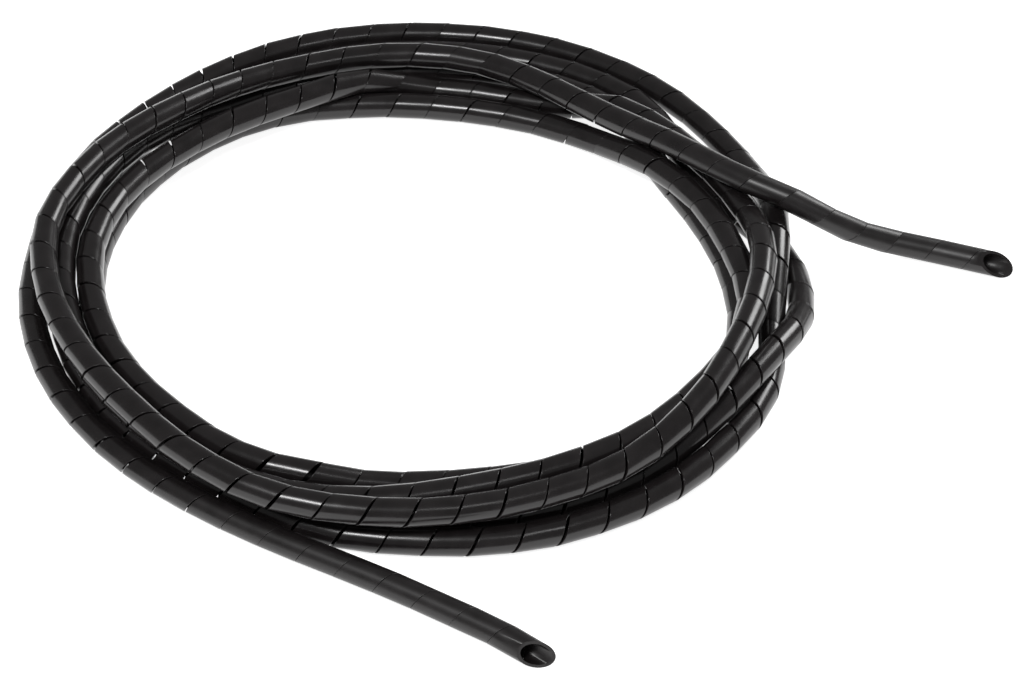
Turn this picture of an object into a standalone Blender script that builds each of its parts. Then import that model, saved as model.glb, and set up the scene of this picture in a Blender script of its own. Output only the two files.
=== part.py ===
# Spiral cable wrap: one length of slit tube, coiled by hand and laid down on a floor.
# The tube is a flat strip wound into a left-handed helix, so it is one solid with a
# bore for cables and a helical slit along its whole length.
# Metres, +Z up, the floor is z = 0.
import math

import bmesh
import bpy
from mathutils import Vector

# Section of the wrap
TUBE_OD = 0.0105
WALL = 0.0011
SLIT_PITCH = 0.0159
SLIT_GAP = 0.0010
FACETS_PER_TURN = 5

# Lay of the coil
LANE = 0.0108
ROUTE_STEP = 0.0040
SMOOTHING_ROUNDS = 10
MIDDLE_X = 0.03848
MIDDLE_Y = -0.02500

# The route by hand: (angle round the coil in degrees, radius in lanes, height in lanes).
# Half a lane is the height of a tube that lies on the floor.
ROUTE = (
    # the free end on the right, up over the coil and round on top of it
    ((0.35, 21.25, 0.5), (1.7, 19.98, 0.5), (2.6, 19.26, 0.5), (3.4, 18.6, 0.5),
     (4.05, 17.88, 0.55), (4.4, 17.13, 0.7), (4.6, 16.38, 0.95), (4.7, 15.67, 1.3),
     (4.9, 14.9, 1.85), (6.2, 14.1, 2.34), (8.7, 13.0, 2.56), (12.5, 12.15, 2.54),
     (18, 11.55, 2.5), (25, 10.95, 2.35), (32, 10.65, 2.15), (40, 10.4, 1.9), (50, 10.4, 1.7),
     (60, 10.7, 1.6), (70, 11.2, 1.5), (80, 11.7, 1.45), (90, 11.85, 1.47), (100, 11.95, 1.47),
     (110, 11.93, 1.48), (120, 12.0, 1.52), (128, 11.9, 1.78), (135, 11.75, 2.05),
     (142, 11.75, 2.25), (150, 12.05, 2.36), (160, 12.5, 2.4), (170, 12.93, 2.4),
     (180, 13.3, 2.38), (190, 13.3, 2.37), (200, 13.27, 2.38), (210, 13.24, 2.4),
     (220, 13.32, 2.4), (228, 13.5, 2.38), (236, 13.82, 2.3), (243, 14.08, 2.2),
     (248, 14.28, 2.12), (255, 14.4, 2.03), (262, 14.33, 1.92), (270, 14.26, 1.83),
     (276, 14.16, 1.74), (282, 14.05, 1.66), (288, 13.92, 1.6), (294, 13.86, 1.57),
     (301, 13.88, 1.62), (309, 13.75, 1.9), (316, 13.56, 2.12), (322, 13.36, 2.28),
     (330, 13.05, 2.38), (337, 12.92, 2.42), (345, 12.77, 2.43), (353, 12.66, 2.35)),
    # second turn, down to the floor at the back, over the innermost turn, on top on the left
    ((0, 12.52, 2.12), (6, 12.35, 1.78), (12, 12.2, 1.52), (20, 11.98, 1.48), (30, 11.7, 1.48),
     (40, 11.55, 1.48), (46, 11.5, 1.47), (50, 11.44, 1.35), (55, 11.3, 0.95), (60, 11.05, 0.6),
     (68, 10.88, 0.5), (76, 10.84, 0.5), (84, 10.85, 0.5), (90, 10.9, 0.52), (95, 10.92, 0.75),
     (100, 10.82, 1.15), (105, 10.55, 1.42), (110, 10.25, 1.49), (116, 10.08, 1.49),
     (122, 10.1, 1.48), (128, 10.22, 1.47), (136, 10.42, 1.47), (145, 10.65, 1.47),
     (153, 10.95, 1.47), (160, 11.25, 1.47), (167, 11.45, 1.47), (174, 11.63, 1.48),
     (180, 11.73, 1.48), (190, 11.75, 1.48), (200, 11.82, 1.48), (210, 11.93, 1.48),
     (220, 12.02, 1.48), (228, 12.1, 1.48), (236, 12.3, 1.46), (243, 12.48, 1.46),
     (248, 12.53, 1.46), (252, 12.48, 1.45), (255, 12.38, 1.4), (258, 12.2, 1.2),
     (262, 11.95, 0.82), (266, 11.72, 0.58), (270, 11.58, 0.5), (276, 11.58, 0.5),
     (283, 11.68, 0.5), (290, 11.83, 0.5), (297, 11.99, 0.5), (305, 12.18, 0.5), (313, 12.38, 0.5),
     (322, 12.46, 0.5), (330, 12.48, 0.5), (338, 12.4, 0.5), (343, 12.3, 0.5), (347, 12.08, 0.5),
     (352, 11.8, 0.5), (357, 11.56, 0.5)),
    # third turn, outwards at the back, then on the second layer from the left to the right
    ((3, 11.31, 0.5), (10, 11.02, 0.5), (18, 10.82, 0.5), (26, 10.68, 0.5), (32, 10.75, 0.5),
     (38, 11.15, 0.5), (44, 11.65, 0.5), (50, 12.1, 0.5), (57, 12.27, 0.5), (70, 12.25, 0.5),
     (80, 12.2, 0.5), (90, 12.15, 0.5), (110, 12.15, 0.5), (120, 12.2, 0.5), (129, 12.2, 0.55),
     (136, 12.22, 0.85), (143, 12.3, 1.18), (150, 12.4, 1.36), (160, 12.55, 1.44),
     (170, 12.68, 1.46), (180, 12.75, 1.46), (190, 12.76, 1.46), (200, 12.83, 1.46),
     (210, 12.93, 1.46), (220, 13.02, 1.46), (228, 13.12, 1.46), (236, 13.32, 1.44),
     (243, 13.47, 1.43), (248, 13.52, 1.43), (255, 13.57, 1.44), (262, 13.44, 1.46),
     (270, 13.22, 1.47), (276, 13.0, 1.46), (282, 12.86, 1.44), (288, 12.8, 1.43),
     (294, 12.8, 1.43), (301, 12.83, 1.43), (309, 12.84, 1.44), (316, 12.78, 1.46),
     (323, 12.72, 1.47), (330, 12.72, 1.47), (338, 12.64, 1.47), (346, 12.46, 1.47),
     (353, 11.96, 1.47)),
    # fourth turn, the innermost at the back, then under the others and out over the fifth
    ((0, 11.5, 1.46), (6, 11.22, 1.46), (13, 10.91, 1.46), (19, 10.6, 1.46), (25, 10.3, 1.45),
     (33, 10.05, 1.3), (40, 9.98, 0.92), (47, 10.03, 0.62), (54, 10.02, 0.5), (62, 9.85, 0.5),
     (75, 9.72, 0.5), (83, 9.72, 0.5), (90, 9.82, 0.5), (97, 9.95, 0.5), (104, 10.15, 0.5),
     (110, 10.4, 0.5), (119, 10.78, 0.5), (128, 11.05, 0.5), (136, 11.22, 0.5), (145, 11.37, 0.5),
     (153, 11.48, 0.5), (160, 11.56, 0.5), (169, 11.63, 0.5), (178, 11.72, 0.5), (186, 11.78, 0.5),
     (200, 11.85, 0.5), (210, 11.93, 0.5), (220, 11.98, 0.5), (228, 12.03, 0.5), (236, 12.12, 0.5),
     (242, 12.28, 0.5), (247, 12.48, 0.5), (253, 12.77, 0.5), (258, 12.97, 0.5), (262, 13.05, 0.5),
     (270, 13.18, 0.5), (278, 13.32, 0.5), (286, 13.5, 0.5), (294, 13.6, 0.5), (302, 13.64, 0.5),
     (309, 13.62, 0.56), (314, 13.58, 0.78), (319, 13.66, 1.12), (324, 13.76, 1.4),
     (328, 13.79, 1.48), (333, 13.86, 1.49), (339, 14.1, 1.43), (345, 14.25, 1.0),
     (351, 14.15, 0.65), (356, 13.98, 0.5)),
    # fifth turn, on the floor
    ((0, 13.75, 0.5), (5, 13.35, 0.5), (10, 12.75, 0.5), (15, 12.2, 0.5), (20, 11.93, 0.5),
     (26, 11.87, 0.5), (32, 11.97, 0.5), (38, 12.28, 0.5), (44, 12.75, 0.5), (50, 13.15, 0.5),
     (60, 13.3, 0.5), (90, 13.35, 0.5), (110, 13.35, 0.5), (130, 13.2, 0.5), (140, 13.08, 0.5),
     (150, 13.0, 0.5), (165, 12.9, 0.5), (180, 12.84, 0.5), (200, 12.93, 0.5), (210, 12.98, 0.5),
     (222, 13.03, 0.5), (235, 13.13, 0.5), (242, 13.27, 0.5), (247, 13.46, 0.5), (253, 13.75, 0.5),
     (258, 14.0, 0.5), (262, 14.12, 0.5), (270, 14.2, 0.5), (278, 14.42, 0.5), (285, 14.6, 0.5),
     (294, 14.68, 0.5), (302, 14.72, 0.5), (309, 14.66, 0.5), (316, 14.5, 0.5), (322, 14.38, 0.5),
     (328, 14.28, 0.5), (333, 14.08, 0.5), (338, 13.72, 0.5), (345, 13.22, 0.6), (353, 13.08, 1.1)),
    # last turn, outermost, out to the free end in front
    ((0, 13.18, 1.46), (5, 13.28, 1.53), (10, 13.42, 1.41), (15, 13.52, 1.08), (20, 13.6, 0.76),
     (26, 13.68, 0.55), (32, 13.78, 0.5), (37, 13.88, 0.52), (44, 14.07, 0.5), (50, 14.25, 0.5),
     (60, 14.42, 0.5), (72, 14.56, 0.5), (86, 14.6, 0.5), (100, 14.65, 0.5), (110, 14.62, 0.5),
     (118, 14.5, 0.5), (125, 14.35, 0.5), (132, 14.2, 0.5), (140, 14.08, 0.5), (150, 14.05, 0.5),
     (160, 13.92, 0.5), (172, 13.83, 0.5), (180, 13.84, 0.5), (189, 13.93, 0.5), (200, 13.96, 0.5),
     (214, 13.98, 0.5), (225, 14.02, 0.5), (235, 14.12, 0.5), (242, 14.27, 0.5), (247, 14.45, 0.5),
     (253, 14.75, 0.5), (258, 15.08, 0.5), (262, 15.41, 0.5), (266, 15.9, 0.5), (270, 16.45, 0.5),
     (275, 17.5, 0.5), (279, 18.45, 0.5), (281, 19.1, 0.5), (282.5, 19.8, 0.5)),
)


def clear_scene():
    for item in list(bpy.data.objects):
        bpy.data.objects.remove(item, do_unlink=True)


def hand_points():
    """The rows of ROUTE as points in metres."""
    points = []
    for turn in ROUTE:
        for angle, radius, height in turn:
            turned = math.radians(angle)
            reach = radius * LANE
            points.append(Vector((
                reach * math.cos(turned) - MIDDLE_X,
                reach * math.sin(turned) - MIDDLE_Y,
                TUBE_OD / 2 + (height - 0.5) * LANE,
            )))
    return points


def slopes(points):
    """A unit-speed direction at every hand point."""
    last = len(points) - 1
    result = []
    for i in range(len(points)):
        before = points[i] - points[max(i - 1, 0)]
        after = points[min(i + 1, last)] - points[i]
        if i == 0:
            result.append(after / after.length)
        elif i == last:
            result.append(before / before.length)
        else:
            back = before.length
            ahead = after.length
            result.append((before / back * ahead + after / ahead * back) / (back + ahead))
    return result


def spread(points, step):
    """The same line with its points one step apart."""
    lengths = [0.0]
    for i in range(1, len(points)):
        lengths.append(lengths[-1] + (points[i] - points[i - 1]).length)
    count = round(lengths[-1] / step)
    result = []
    at = 0
    for k in range(count + 1):
        wanted = lengths[-1] * k / count
        while at < len(points) - 2 and lengths[at + 1] < wanted:
            at += 1
        share = (wanted - lengths[at]) / (lengths[at + 1] - lengths[at])
        result.append(points[at].lerp(points[at + 1], share))
    return result


def route():
    """The middle line of the wrap, smooth and evenly divided."""
    hand = hand_points()
    slope = slopes(hand)
    line = []
    for i in range(len(hand) - 1):
        start = hand[i]
        end = hand[i + 1]
        reach = (end - start).length
        parts = max(2, round(reach / ROUTE_STEP))
        for k in range(parts):
            t = k / parts
            line.append(
                start * (2 * t ** 3 - 3 * t ** 2 + 1)
                + slope[i] * reach * (t ** 3 - 2 * t ** 2 + t)
                + end * (3 * t ** 2 - 2 * t ** 3)
                + slope[i + 1] * reach * (t ** 3 - t ** 2)
            )
    line.append(hand[-1])
    line = spread(line, ROUTE_STEP)
    for _ in range(SMOOTHING_ROUNDS):
        inner = [
            (line[i - 1] + line[i] * 2 + line[i + 1]) / 4
            for i in range(1, len(line) - 1)
        ]
        line = [line[0]] + inner + [line[-1]]
    for point in line:
        point.z = max(point.z, TUBE_OD / 2)
    return spread(line, ROUTE_STEP)


def line_length(points):
    return sum((points[i] - points[i - 1]).length for i in range(1, len(points)))


def make_guide(points, collection):
    """The middle line as a curve that is not part of the object."""
    data = bpy.data.curves.new("wrap_guide", "CURVE")
    data.dimensions = "3D"
    data.twist_mode = "Z_UP"
    spline = data.splines.new("POLY")
    spline.points.add(len(points) - 1)
    for slot, point in zip(spline.points, points):
        slot.co = (point.x, point.y, point.z, 1.0)
    guide = bpy.data.objects.new("wrap_guide", data)
    guide.hide_render = True
    guide.display_type = "WIRE"
    collection.objects.link(guide)
    return guide


def make_straight_strip(length, collection):
    """The wrap before it is coiled: a strip wound round the X axis."""
    outer = TUBE_OD / 2
    inner = outer - WALL
    width = SLIT_PITCH - SLIT_GAP
    mesh = bpy.data.meshes.new("strip_section")
    corners = [
        (-SLIT_PITCH, 0.0, -outer),
        (width - SLIT_PITCH, 0.0, -outer),
        (width - SLIT_PITCH, 0.0, -inner),
        (-SLIT_PITCH, 0.0, -inner),
    ]
    mesh.from_pydata(corners, [(0, 1), (1, 2), (2, 3), (3, 0)], [])
    strip = bpy.data.objects.new("strip_section", mesh)
    collection.objects.link(strip)
    screw = strip.modifiers.new("helix", "SCREW")
    screw.axis = "X"
    screw.angle = -2 * math.pi
    screw.screw_offset = SLIT_PITCH
    screw.iterations = math.ceil(length / SLIT_PITCH) + 2
    screw.steps = FACETS_PER_TURN
    screw.render_steps = FACETS_PER_TURN
    screw.use_merge_vertices = False
    bpy.context.view_layer.update()
    wound = strip.evaluated_get(bpy.context.evaluated_depsgraph_get())
    result = bpy.data.meshes.new_from_object(wound)
    bpy.data.objects.remove(strip, do_unlink=True)
    return result


def cut_square(mesh, length):
    """Both ends cut square across the wrap, as with a knife."""
    work = bmesh.new()
    work.from_mesh(mesh)
    bmesh.ops.remove_doubles(work, verts=work.verts, dist=1e-6)
    for place, outward in ((0.0, -1.0), (length, 1.0)):
        bmesh.ops.bisect_plane(
            work,
            geom=work.verts[:] + work.edges[:] + work.faces[:],
            plane_co=(place, 0.0, 0.0),
            plane_no=(outward, 0.0, 0.0),
            clear_outer=True,
        )
    bmesh.ops.holes_fill(work, edges=work.edges[:], sides=0)
    bmesh.ops.triangulate(work, faces=work.faces[:])
    bmesh.ops.recalc_face_normals(work, faces=work.faces[:])
    work.to_mesh(mesh)
    work.free()


def make_material():
    material = bpy.data.materials.new("black_polyethylene")
    material.use_nodes = True
    shader = material.node_tree.nodes["Principled BSDF"]
    shader.inputs["Base Color"].default_value = (0.012, 0.012, 0.013, 1.0)
    shader.inputs["Roughness"].default_value = 0.32
    return material


def main():
    clear_scene()
    scene = bpy.context.scene
    collection = bpy.data.collections.new("spiral_cable_wrap")
    guides = bpy.data.collections.new("guides")
    scene.collection.children.link(collection)
    scene.collection.children.link(guides)

    points = route()
    length = line_length(points)
    guide = make_guide(points, guides)
    mesh = make_straight_strip(length, guides)
    mesh.name = "spiral_wrap"
    cut_square(mesh, length)
    mesh.materials.clear()
    mesh.materials.append(make_material())
    wrap = bpy.data.objects.new("spiral_wrap", mesh)
    collection.objects.link(wrap)
    coil = wrap.modifiers.new("coil", "CURVE")
    coil.object = guide
    coil.deform_axis = "POS_X"
    print("length of the wrap", round(length, 4), "m, triangles", len(mesh.polygons))


main()
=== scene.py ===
# Looks of the spiral cable wrap: one length of black slit tube, coiled by hand on a floor.
# The tube is a strip wound into a left-handed helix. Every turn of the strip keeps its own
# width, so the wrap bends at its slits: they open outside a bend and close inside it.
import math

import bpy
import numpy as np
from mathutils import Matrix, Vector


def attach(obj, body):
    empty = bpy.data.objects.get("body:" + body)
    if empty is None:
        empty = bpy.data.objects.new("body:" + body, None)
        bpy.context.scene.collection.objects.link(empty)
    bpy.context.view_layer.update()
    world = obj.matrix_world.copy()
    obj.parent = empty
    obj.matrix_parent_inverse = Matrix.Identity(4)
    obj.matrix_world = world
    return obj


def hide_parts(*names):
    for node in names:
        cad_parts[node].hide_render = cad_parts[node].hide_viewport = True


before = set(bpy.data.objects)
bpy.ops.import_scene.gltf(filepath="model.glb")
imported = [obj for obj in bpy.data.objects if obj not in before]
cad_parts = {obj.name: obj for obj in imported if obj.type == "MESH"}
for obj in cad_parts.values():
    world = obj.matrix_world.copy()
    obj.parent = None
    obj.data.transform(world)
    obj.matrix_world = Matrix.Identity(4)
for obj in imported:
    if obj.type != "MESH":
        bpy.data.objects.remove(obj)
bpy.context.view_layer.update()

# Section of the wrap, as in the part's source
TUBE_OD = 0.0105
WALL = 0.0011
SLIT_PITCH = 0.0159

# The slit is drawn narrower than in the part's source, with rounded outer edges
SLIT_GAP = 0.0007
EDGE_ROUND = 0.00022
EDGE_SEGMENTS = 2
STEPS_PER_TURN = 32
WELD_DISTANCE = 1e-6
SMOOTH_ANGLE = 50.0

# The free ends are straighter: their slits close, the tube draws in and its skin is duller
FREE_END_LENGTH = 0.115
FREE_END_FADE = 0.060
FREE_END_WIDTH = 0.94
FREE_END_GAP = 0.00004
FREE_END_EVENNESS = 0.8
FREE_END_ROUGHER = 0.15

# How much of a bend's strain the strip itself takes up
STRIP_GIVE = 0.3

# Small unevenness from one turn of the strip to the next
TURN_SHIFT = 0.00013
TURN_TILT = 0.016
TURN_SWELL = 0.00005

# The ends are cut slantwise: (slant from square, which side is cut back) in degrees,
# where the side is counted round the tube from its left side upwards
END_A_SLANT = 50.0
END_A_SIDE = 55.0
END_B_SLANT = 44.0
END_B_SIDE = 150.0

# Lay of the coil, as in the part's source
LANE = 0.0108
ROUTE_STEP = 0.0040
SMOOTHING_ROUNDS = 10
MIDDLE_X = 0.03848
MIDDLE_Y = -0.02500

# Camera: it looks level with the +Y side and down on the coil
CAMERA_TILT = 41.0
CAMERA_DISTANCE = 110 * LANE
CAMERA_TARGET = (3.54 * LANE - MIDDLE_X, -3.69 * LANE - MIDDLE_Y, 0.0)
CAMERA_LENS = 108.3
SENSOR_WIDTH = 36.0
CAMERA_REACH = 30.0

# Skin of the wrap: two shades of black, satin, with draw lines along the strip
DARK_SHADE = (0.0090, 0.0074, 0.0076, 1.0)
PALE_SHADE = (0.0150, 0.0125, 0.0129, 1.0)
SHADE_RANGE = (0.3, 0.75)
GLOSS_RANGE = (0.3, 0.7)
ROUGHNESS_RANGE = (0.19, 0.27)
PATCH_SCALE = 140.0
DRAW_LINE_SCALE = (12.0, 1400.0, 1400.0)
DRAW_LINE_STRENGTH = 0.12
DRAW_LINE_DEPTH = 0.00003

# Floor and light
FLOOR_SIZE = 8.0
FLOOR_SHADE = (0.92, 0.92, 0.92, 1.0)
FLOOR_GLOW = 0.85
WHITE = (1.0, 1.0, 1.0, 1.0)
WALL_GLOW = 0.22

# Soft boxes turned to the middle of the coil: (name, place, size, power)
SOFT_BOXES = (
    ("front_box", (-0.47, -0.78, 1.35), (0.36, 0.28), 11.5),
    ("side_box", (0.50, -0.80, 1.40), (0.30, 0.26), 1.2),
    ("back_box", (0.80, 0.75, 0.70), (0.50, 0.50), 8.0),
)

# The route as listed: (angle round the coil in degrees, radius in lanes, height in lanes).
# Half a lane is the height of a tube that lies on the floor.
ROUTE = (
    # the free end on the right, up over the coil and round on top of it
    ((0.35, 21.25, 0.5), (1.7, 19.98, 0.5), (2.6, 19.26, 0.5), (3.4, 18.6, 0.5),
     (4.05, 17.88, 0.55), (4.4, 17.13, 0.7), (4.6, 16.38, 0.95), (4.7, 15.67, 1.3),
     (4.9, 14.9, 1.85), (6.2, 14.1, 2.34), (8.7, 13.0, 2.56), (12.5, 12.15, 2.54),
     (18, 11.55, 2.5), (25, 10.95, 2.35), (32, 10.65, 2.15), (40, 10.4, 1.9), (50, 10.4, 1.7),
     (60, 10.7, 1.6), (70, 11.2, 1.5), (80, 11.7, 1.45), (90, 11.85, 1.47), (100, 11.95, 1.47),
     (110, 11.93, 1.48), (120, 12.0, 1.52), (128, 11.9, 1.78), (135, 11.75, 2.05),
     (142, 11.75, 2.25), (150, 12.05, 2.36), (160, 12.5, 2.4), (170, 12.93, 2.4),
     (180, 13.3, 2.38), (190, 13.3, 2.37), (200, 13.27, 2.38), (210, 13.24, 2.4),
     (220, 13.32, 2.4), (228, 13.5, 2.38), (236, 13.82, 2.3), (243, 14.08, 2.2),
     (248, 14.28, 2.12), (255, 14.4, 2.03), (262, 14.33, 1.92), (270, 14.26, 1.83),
     (276, 14.16, 1.74), (282, 14.05, 1.66), (288, 13.92, 1.6), (294, 13.86, 1.57),
     (301, 13.88, 1.62), (309, 13.75, 1.9), (316, 13.56, 2.12), (322, 13.36, 2.28),
     (330, 13.05, 2.38), (337, 12.92, 2.42), (345, 12.77, 2.43), (353, 12.66, 2.35)),
    # second turn, down to the floor at the back, over the innermost turn, on top on the left
    ((0, 12.52, 2.12), (6, 12.35, 1.78), (12, 12.2, 1.52), (20, 11.98, 1.48), (30, 11.7, 1.48),
     (40, 11.55, 1.48), (46, 11.5, 1.47), (50, 11.44, 1.35), (55, 11.3, 0.95), (60, 11.05, 0.6),
     (68, 10.88, 0.5), (76, 10.84, 0.5), (84, 10.85, 0.5), (90, 10.9, 0.52), (95, 10.92, 0.75),
     (100, 10.82, 1.15), (105, 10.55, 1.42), (110, 10.25, 1.49), (116, 10.08, 1.49),
     (122, 10.1, 1.48), (128, 10.22, 1.47), (136, 10.42, 1.47), (145, 10.65, 1.47),
     (153, 10.95, 1.47), (160, 11.25, 1.47), (167, 11.45, 1.47), (174, 11.63, 1.48),
     (180, 11.73, 1.48), (190, 11.75, 1.48), (200, 11.82, 1.48), (210, 11.93, 1.48),
     (220, 12.02, 1.48), (228, 12.1, 1.48), (236, 12.3, 1.46), (243, 12.48, 1.46),
     (248, 12.53, 1.46), (252, 12.48, 1.45), (255, 12.38, 1.4), (258, 12.2, 1.2),
     (262, 11.95, 0.82), (266, 11.72, 0.58), (270, 11.58, 0.5), (276, 11.58, 0.5),
     (283, 11.68, 0.5), (290, 11.83, 0.5), (297, 11.99, 0.5), (305, 12.18, 0.5), (313, 12.38, 0.5),
     (322, 12.46, 0.5), (330, 12.48, 0.5), (338, 12.4, 0.5), (343, 12.3, 0.5), (347, 12.08, 0.5),
     (352, 11.8, 0.5), (357, 11.56, 0.5)),
    # third turn, outwards at the back, then on the second layer from the left to the right
    ((3, 11.31, 0.5), (10, 11.02, 0.5), (18, 10.82, 0.5), (26, 10.68, 0.5), (32, 10.75, 0.5),
     (38, 11.15, 0.5), (44, 11.65, 0.5), (50, 12.1, 0.5), (57, 12.27, 0.5), (70, 12.25, 0.5),
     (80, 12.2, 0.5), (90, 12.15, 0.5), (110, 12.15, 0.5), (120, 12.2, 0.5), (129, 12.2, 0.55),
     (136, 12.22, 0.85), (143, 12.3, 1.18), (150, 12.4, 1.36), (160, 12.55, 1.44),
     (170, 12.68, 1.46), (180, 12.75, 1.46), (190, 12.76, 1.46), (200, 12.83, 1.46),
     (210, 12.93, 1.46), (220, 13.02, 1.46), (228, 13.12, 1.46), (236, 13.32, 1.44),
     (243, 13.47, 1.43), (248, 13.52, 1.43), (255, 13.57, 1.44), (262, 13.44, 1.46),
     (270, 13.22, 1.47), (276, 13.0, 1.46), (282, 12.86, 1.44), (288, 12.8, 1.43),
     (294, 12.8, 1.43), (301, 12.83, 1.43), (309, 12.84, 1.44), (316, 12.78, 1.46),
     (323, 12.72, 1.47), (330, 12.72, 1.47), (338, 12.64, 1.47), (346, 12.46, 1.47),
     (353, 11.96, 1.47)),
    # fourth turn, the innermost at the back, then under the others and out over the fifth
    ((0, 11.5, 1.46), (6, 11.22, 1.46), (13, 10.91, 1.46), (19, 10.6, 1.46), (25, 10.3, 1.45),
     (33, 10.05, 1.3), (40, 9.98, 0.92), (47, 10.03, 0.62), (54, 10.02, 0.5), (62, 9.85, 0.5),
     (75, 9.72, 0.5), (83, 9.72, 0.5), (90, 9.82, 0.5), (97, 9.95, 0.5), (104, 10.15, 0.5),
     (110, 10.4, 0.5), (119, 10.78, 0.5), (128, 11.05, 0.5), (136, 11.22, 0.5), (145, 11.37, 0.5),
     (153, 11.48, 0.5), (160, 11.56, 0.5), (169, 11.63, 0.5), (178, 11.72, 0.5), (186, 11.78, 0.5),
     (200, 11.85, 0.5), (210, 11.93, 0.5), (220, 11.98, 0.5), (228, 12.03, 0.5), (236, 12.12, 0.5),
     (242, 12.28, 0.5), (247, 12.48, 0.5), (253, 12.77, 0.5), (258, 12.97, 0.5), (262, 13.05, 0.5),
     (270, 13.18, 0.5), (278, 13.32, 0.5), (286, 13.5, 0.5), (294, 13.6, 0.5), (302, 13.64, 0.5),
     (309, 13.62, 0.56), (314, 13.58, 0.78), (319, 13.66, 1.12), (324, 13.76, 1.4),
     (328, 13.79, 1.48), (333, 13.86, 1.49), (339, 14.1, 1.43), (345, 14.25, 1.0),
     (351, 14.15, 0.65), (356, 13.98, 0.5)),
    # fifth turn, on the floor
    ((0, 13.75, 0.5), (5, 13.35, 0.5), (10, 12.75, 0.5), (15, 12.2, 0.5), (20, 11.93, 0.5),
     (26, 11.87, 0.5), (32, 11.97, 0.5), (38, 12.28, 0.5), (44, 12.75, 0.5), (50, 13.15, 0.5),
     (60, 13.3, 0.5), (90, 13.35, 0.5), (110, 13.35, 0.5), (130, 13.2, 0.5), (140, 13.08, 0.5),
     (150, 13.0, 0.5), (165, 12.9, 0.5), (180, 12.84, 0.5), (200, 12.93, 0.5), (210, 12.98, 0.5),
     (222, 13.03, 0.5), (235, 13.13, 0.5), (242, 13.27, 0.5), (247, 13.46, 0.5), (253, 13.75, 0.5),
     (258, 14.0, 0.5), (262, 14.12, 0.5), (270, 14.2, 0.5), (278, 14.42, 0.5), (285, 14.6, 0.5),
     (294, 14.68, 0.5), (302, 14.72, 0.5), (309, 14.66, 0.5), (316, 14.5, 0.5), (322, 14.38, 0.5),
     (328, 14.28, 0.5), (333, 14.08, 0.5), (338, 13.72, 0.5), (345, 13.22, 0.6), (353, 13.08, 1.1)),
    # last turn, outermost, out to the free end in front
    ((0, 13.18, 1.46), (5, 13.28, 1.53), (10, 13.42, 1.41), (15, 13.52, 1.08), (20, 13.6, 0.76),
     (26, 13.68, 0.55), (32, 13.78, 0.5), (37, 13.88, 0.52), (44, 14.07, 0.5), (50, 14.25, 0.5),
     (60, 14.42, 0.5), (72, 14.56, 0.5), (86, 14.6, 0.5), (100, 14.65, 0.5), (110, 14.62, 0.5),
     (118, 14.5, 0.5), (125, 14.35, 0.5), (132, 14.2, 0.5), (140, 14.08, 0.5), (150, 14.05, 0.5),
     (160, 13.92, 0.5), (172, 13.83, 0.5), (180, 13.84, 0.5), (189, 13.93, 0.5), (200, 13.96, 0.5),
     (214, 13.98, 0.5), (225, 14.02, 0.5), (235, 14.12, 0.5), (242, 14.27, 0.5), (247, 14.45, 0.5),
     (253, 14.75, 0.5), (258, 15.08, 0.5), (262, 15.41, 0.5), (266, 15.9, 0.5), (270, 16.45, 0.5),
     (275, 17.5, 0.5), (279, 18.45, 0.5), (281, 19.1, 0.5), (282.5, 19.8, 0.5)),
)


def place_camera():
    """The photograph's view: square to the coil's long side, from above."""
    tilt = math.radians(CAMERA_TILT)
    target = Vector(CAMERA_TARGET)
    offset = Vector((0.0, -math.cos(tilt), math.sin(tilt))) * CAMERA_DISTANCE
    bpy.ops.object.camera_add(
        location=target + offset,
        rotation=(math.pi / 2 - tilt, 0.0, 0.0),
    )
    camera = bpy.context.active_object
    camera.name = "view_camera"
    camera.data.lens = CAMERA_LENS
    camera.data.sensor_width = SENSOR_WIDTH
    camera.data.clip_end = CAMERA_REACH
    bpy.context.scene.camera = camera


def hand_points():
    """The rows of ROUTE as points in metres."""
    points = []
    for turn in ROUTE:
        for angle, radius, height in turn:
            turned = math.radians(angle)
            reach = radius * LANE
            points.append(Vector((
                reach * math.cos(turned) - MIDDLE_X,
                reach * math.sin(turned) - MIDDLE_Y,
                TUBE_OD / 2 + (height - 0.5) * LANE,
            )))
    return points


def slopes(points):
    """A unit-speed direction at every hand point."""
    last = len(points) - 1
    result = []
    for i in range(len(points)):
        before = points[i] - points[max(i - 1, 0)]
        after = points[min(i + 1, last)] - points[i]
        if i == 0:
            result.append(after / after.length)
        elif i == last:
            result.append(before / before.length)
        else:
            back = before.length
            ahead = after.length
            result.append((before / back * ahead + after / ahead * back) / (back + ahead))
    return result


def spread(points, step):
    """The same line with its points one step apart."""
    lengths = [0.0]
    for i in range(1, len(points)):
        lengths.append(lengths[-1] + (points[i] - points[i - 1]).length)
    count = round(lengths[-1] / step)
    result = []
    at = 0
    for k in range(count + 1):
        wanted = lengths[-1] * k / count
        while at < len(points) - 2 and lengths[at + 1] < wanted:
            at += 1
        share = (wanted - lengths[at]) / (lengths[at + 1] - lengths[at])
        result.append(points[at].lerp(points[at + 1], share))
    return result


def route():
    """The middle line of the wrap, smooth and evenly divided."""
    hand = hand_points()
    slope = slopes(hand)
    line = []
    for i in range(len(hand) - 1):
        start = hand[i]
        end = hand[i + 1]
        reach = (end - start).length
        parts = max(2, round(reach / ROUTE_STEP))
        for k in range(parts):
            t = k / parts
            line.append(
                start * (2 * t ** 3 - 3 * t ** 2 + 1)
                + slope[i] * reach * (t ** 3 - 2 * t ** 2 + t)
                + end * (3 * t ** 2 - 2 * t ** 3)
                + slope[i + 1] * reach * (t ** 3 - t ** 2)
            )
    line.append(hand[-1])
    line = spread(line, ROUTE_STEP)
    for _ in range(SMOOTHING_ROUNDS):
        inner = [
            (line[i - 1] + line[i] * 2 + line[i + 1]) / 4
            for i in range(1, len(line) - 1)
        ]
        line = [line[0]] + inner + [line[-1]]
    for point in line:
        point.z = max(point.z, TUBE_OD / 2)
    return spread(line, ROUTE_STEP)


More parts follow.
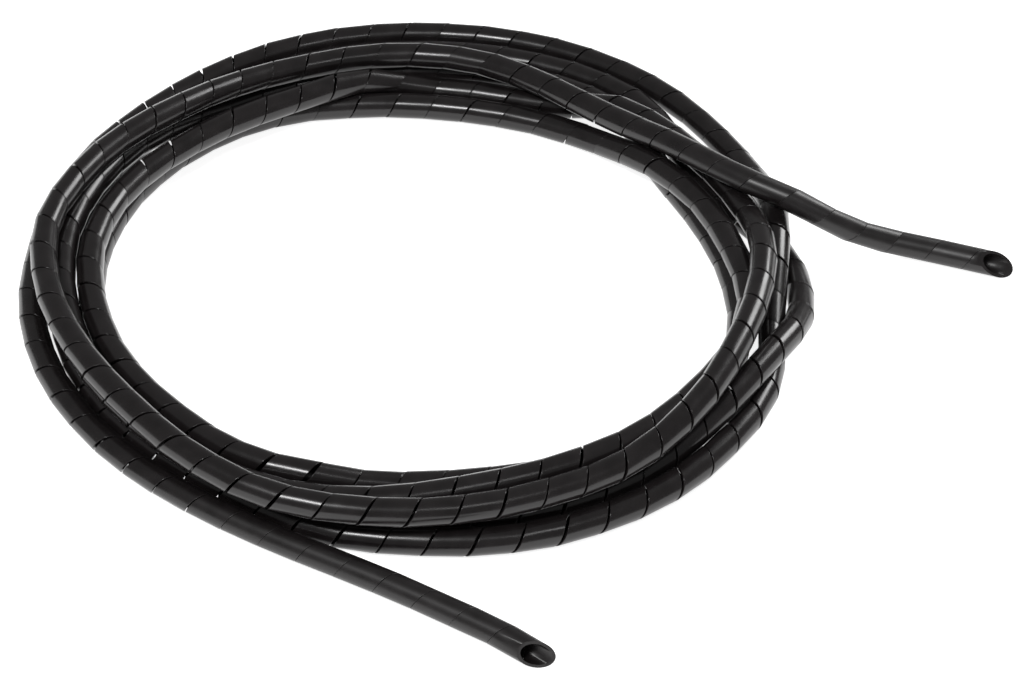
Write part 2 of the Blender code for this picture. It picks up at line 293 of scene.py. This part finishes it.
def line_length(points):
    """How long a line through the points is."""
    return sum((points[i] - points[i - 1]).length for i in range(1, len(points)))


def slant_normal(slant, side, outward):
    """The outward side of a slanted cut across the straight wrap."""
    lean = math.radians(slant)
    turned = math.radians(side)
    return (
        outward * math.cos(lean),
        math.sin(lean) * math.cos(turned),
        math.sin(lean) * math.sin(turned),
    )


def wind_straight_wrap(length):
    """The wrap before it is coiled: the strip's section wound round the X axis and cut."""
    width = SLIT_PITCH - SLIT_GAP
    bpy.ops.object.select_all(action="DESELECT")
    bpy.ops.mesh.primitive_plane_add(
        size=1.0,
        location=(width / 2 - SLIT_PITCH, 0.0, -(TUBE_OD - WALL) / 2),
        rotation=(math.pi / 2, 0.0, 0.0),
    )
    wrap = bpy.context.active_object
    wrap.name = "coiled_wrap"
    wrap.scale = (width, WALL, 1.0)
    bpy.ops.object.transform_apply(location=True, rotation=True, scale=True)
    bpy.ops.object.mode_set(mode="EDIT")
    bpy.ops.mesh.delete(type="ONLY_FACE")
    bpy.ops.object.mode_set(mode="OBJECT")
    for vertex in wrap.data.vertices:
        vertex.select = vertex.co.z < -(TUBE_OD - WALL) / 2
    for edge in wrap.data.edges:
        edge.select = all(wrap.data.vertices[i].select for i in edge.vertices)
    bpy.ops.object.mode_set(mode="EDIT")
    bpy.ops.mesh.bevel(affect="VERTICES", offset=EDGE_ROUND, segments=EDGE_SEGMENTS)
    bpy.ops.object.mode_set(mode="OBJECT")

    screw = wrap.modifiers.new("helix", "SCREW")
    screw.axis = "X"
    screw.angle = -2 * math.pi
    screw.screw_offset = SLIT_PITCH
    screw.iterations = math.ceil(length / SLIT_PITCH) + 3
    screw.steps = STEPS_PER_TURN
    screw.render_steps = STEPS_PER_TURN
    screw.use_merge_vertices = False
    bpy.ops.object.modifier_apply(modifier="helix")

    bpy.ops.object.mode_set(mode="EDIT")
    bpy.ops.mesh.select_all(action="SELECT")
    bpy.ops.transform.translate(value=(-SLIT_PITCH, 0.0, 0.0))
    bpy.ops.mesh.remove_doubles(threshold=WELD_DISTANCE)
    for place, normal in (
        (0.0, slant_normal(END_A_SLANT, END_A_SIDE, -1.0)),
        (length, slant_normal(END_B_SLANT, END_B_SIDE, 1.0)),
    ):
        bpy.ops.mesh.select_all(action="SELECT")
        bpy.ops.mesh.bisect(
            plane_co=(place, 0.0, 0.0),
            plane_no=normal,
            use_fill=True,
            clear_outer=True,
        )
    bpy.ops.mesh.select_all(action="SELECT")
    bpy.ops.mesh.normals_make_consistent(inside=False)
    bpy.ops.object.mode_set(mode="OBJECT")
    return wrap


def route_frames(points, places):
    """Middle point, forward, left and up at each place along the route."""
    line = np.array([tuple(point) for point in points])
    steps = np.linalg.norm(np.diff(line, axis=0), axis=1)
    lengths = np.concatenate(([0.0], np.cumsum(steps)))
    forward_at = np.gradient(line, lengths, axis=0)
    inside = np.clip(places, 0.0, lengths[-1])
    middle = np.stack([np.interp(inside, lengths, line[:, k]) for k in range(3)], axis=1)
    forward = np.stack([np.interp(inside, lengths, forward_at[:, k]) for k in range(3)], axis=1)
    forward /= np.linalg.norm(forward, axis=1)[:, None]
    middle += forward * (places - inside)[:, None]
    left = np.cross((0.0, 0.0, 1.0), forward)
    left /= np.linalg.norm(left, axis=1)[:, None]
    up = np.cross(forward, left)
    return middle, forward, left, up


def free_end_share(places, length):
    """1 on the free ends, 0 in the coil, with a smooth change between them."""
    from_end = np.minimum(places, length - places)
    share = np.clip((FREE_END_LENGTH + FREE_END_FADE - from_end) / FREE_END_FADE, 0.0, 1.0)
    return share * share * (3.0 - 2.0 * share)


def lay_along(wrap, points):
    """Bends the straight wrap along the route, each turn of the strip by its own middle."""
    length = line_length(points)
    count = len(wrap.data.vertices)
    straight = np.empty(count * 3)
    wrap.data.vertices.foreach_get("co", straight)
    straight = straight.reshape(-1, 3)

    around = np.arctan2(straight[:, 1], -straight[:, 2])
    part_turn = -around / (2 * math.pi)
    first_middle = (SLIT_PITCH - SLIT_GAP) / 2 - 2 * SLIT_PITCH
    turns = np.round((straight[:, 0] - first_middle) / SLIT_PITCH - part_turn) + part_turn
    strip_middle = first_middle + SLIT_PITCH * turns
    across = straight[:, 0] - strip_middle

    free = free_end_share(strip_middle, length)
    uneven = 1.0 - FREE_END_EVENNESS * free
    gap = SLIT_GAP + (FREE_END_GAP - SLIT_GAP) * free
    across = across * (SLIT_PITCH - gap) / (SLIT_PITCH - SLIT_GAP)
    shift = TURN_SHIFT * uneven * (np.sin(2.31 * turns) + np.sin(0.77 * turns + 1.0))
    tilt = TURN_TILT * uneven * np.sin(3.7 * turns + 0.6) * np.cos(0.53 * turns)
    swell = TURN_SWELL * uneven * np.sin(1.9 * turns + 2.0)
    radius = np.hypot(straight[:, 1], straight[:, 2])
    grown = (radius + swell + tilt * across) * (1.0 - (1.0 - FREE_END_WIDTH) * free) / radius

    follow = free + (1.0 - free) * STRIP_GIVE
    middle, forward, left, up = route_frames(points, strip_middle + (across + shift) * follow)
    laid = middle + forward * ((across + shift) * (1.0 - follow))[:, None]
    laid += left * (straight[:, 1] * grown)[:, None]
    laid += up * (straight[:, 2] * grown)[:, None]
    laid[:, 2] = np.maximum(laid[:, 2], 0.0)
    wrap.data.vertices.foreach_set("co", laid.ravel())
    place = wrap.data.attributes.new("straight_place", "FLOAT_VECTOR", "POINT")
    place.data.foreach_set("vector", straight.ravel())
    dulled = wrap.data.attributes.new("free_end", "FLOAT", "POINT")
    dulled.data.foreach_set("value", free)
    wrap.data.update()


def black_polyethylene():
    """Soft black plastic with a satin skin, faint draw lines and rubbed patches."""
    material = bpy.data.materials.new("black_polyethylene")
    material.use_nodes = True
    nodes = material.node_tree.nodes
    links = material.node_tree.links
    shader = nodes["Principled BSDF"]
    shader.inputs["Specular IOR Level"].default_value = 0.5
    shader.inputs["IOR"].default_value = 1.5

    place = nodes.new("ShaderNodeAttribute")
    place.attribute_name = "straight_place"

    stretch = nodes.new("ShaderNodeMapping")
    stretch.inputs["Scale"].default_value = DRAW_LINE_SCALE
    links.new(place.outputs["Vector"], stretch.inputs["Vector"])
    draw_lines = nodes.new("ShaderNodeTexNoise")
    draw_lines.inputs["Scale"].default_value = 1.0
    draw_lines.inputs["Detail"].default_value = 3.0
    links.new(stretch.outputs["Vector"], draw_lines.inputs["Vector"])

    patches = nodes.new("ShaderNodeTexNoise")
    patches.inputs["Scale"].default_value = PATCH_SCALE
    patches.inputs["Detail"].default_value = 4.0
    links.new(place.outputs["Vector"], patches.inputs["Vector"])

    colour = nodes.new("ShaderNodeValToRGB")
    colour.color_ramp.elements[0].position = SHADE_RANGE[0]
    colour.color_ramp.elements[0].color = DARK_SHADE
    colour.color_ramp.elements[1].position = SHADE_RANGE[1]
    colour.color_ramp.elements[1].color = PALE_SHADE
    links.new(patches.outputs["Fac"], colour.inputs["Fac"])
    links.new(colour.outputs["Color"], shader.inputs["Base Color"])

    gloss = nodes.new("ShaderNodeMapRange")
    gloss.inputs["From Min"].default_value = GLOSS_RANGE[0]
    gloss.inputs["From Max"].default_value = GLOSS_RANGE[1]
    gloss.inputs["To Min"].default_value = ROUGHNESS_RANGE[0]
    gloss.inputs["To Max"].default_value = ROUGHNESS_RANGE[1]
    links.new(patches.outputs["Fac"], gloss.inputs["Value"])

    free_end = nodes.new("ShaderNodeAttribute")
    free_end.attribute_name = "free_end"
    duller = nodes.new("ShaderNodeMath")
    duller.operation = "MULTIPLY_ADD"
    duller.inputs[1].default_value = FREE_END_ROUGHER
    links.new(free_end.outputs["Fac"], duller.inputs[0])
    links.new(gloss.outputs["Result"], duller.inputs[2])
    links.new(duller.outputs["Value"], shader.inputs["Roughness"])

    relief = nodes.new("ShaderNodeBump")
    relief.inputs["Strength"].default_value = DRAW_LINE_STRENGTH
    relief.inputs["Distance"].default_value = DRAW_LINE_DEPTH
    links.new(draw_lines.outputs["Fac"], relief.inputs["Height"])
    links.new(relief.outputs["Normal"], shader.inputs["Normal"])
    return material


def make_wrap(points):
    """The whole wrap as one piece, lying coiled."""
    length = line_length(points)
    wrap = wind_straight_wrap(length)
    lay_along(wrap, points)
    bpy.ops.object.select_all(action="DESELECT")
    wrap.select_set(True)
    bpy.context.view_layer.objects.active = wrap
    bpy.ops.object.shade_smooth_by_angle(angle=math.radians(SMOOTH_ANGLE))
    weighted = wrap.modifiers.new("even_shading", "WEIGHTED_NORMAL")
    weighted.keep_sharp = True
    bpy.ops.object.modifier_apply(modifier="even_shading")
    wrap.data.materials.append(black_polyethylene())
    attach(wrap, "root")
    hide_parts("spiral_wrap")


def make_floor():
    """A plain pale floor."""
    bpy.ops.object.select_all(action="DESELECT")
    bpy.ops.mesh.primitive_plane_add(size=FLOOR_SIZE)
    floor = bpy.context.active_object
    floor.name = "studio_floor"
    material = bpy.data.materials.new("pale_floor")
    material.use_nodes = True
    shader = material.node_tree.nodes["Principled BSDF"]
    shader.inputs["Base Color"].default_value = FLOOR_SHADE
    shader.inputs["Roughness"].default_value = 0.9
    shader.inputs["Specular IOR Level"].default_value = 0.1
    shader.inputs["Emission Color"].default_value = WHITE
    shader.inputs["Emission Strength"].default_value = FLOOR_GLOW
    floor.data.materials.append(material)


def make_softbox(name, place, size, power):
    """A soft area light at a place, turned to the middle of the coil."""
    direction = -Vector(place)
    bpy.ops.object.light_add(
        type="AREA",
        location=place,
        rotation=direction.to_track_quat("-Z", "Y").to_euler(),
    )
    light = bpy.context.active_object
    light.name = name
    light.data.shape = "RECTANGLE"
    light.data.size = size[0]
    light.data.size_y = size[1]
    light.data.energy = power


def light_the_studio():
    """White walls all round, as a pale world, and soft boxes over the coil."""
    world = bpy.data.worlds.new("white_studio")
    bpy.context.scene.world = world
    world.use_nodes = True
    background = world.node_tree.nodes["Background"]
    background.inputs["Color"].default_value = WHITE
    background.inputs["Strength"].default_value = WALL_GLOW
    for name, place, size, power in SOFT_BOXES:
        make_softbox(name, place, size, power)
    bpy.context.scene.view_settings.view_transform = "Standard"


place_camera()
make_wrap(route())
make_floor()
light_the_studio()
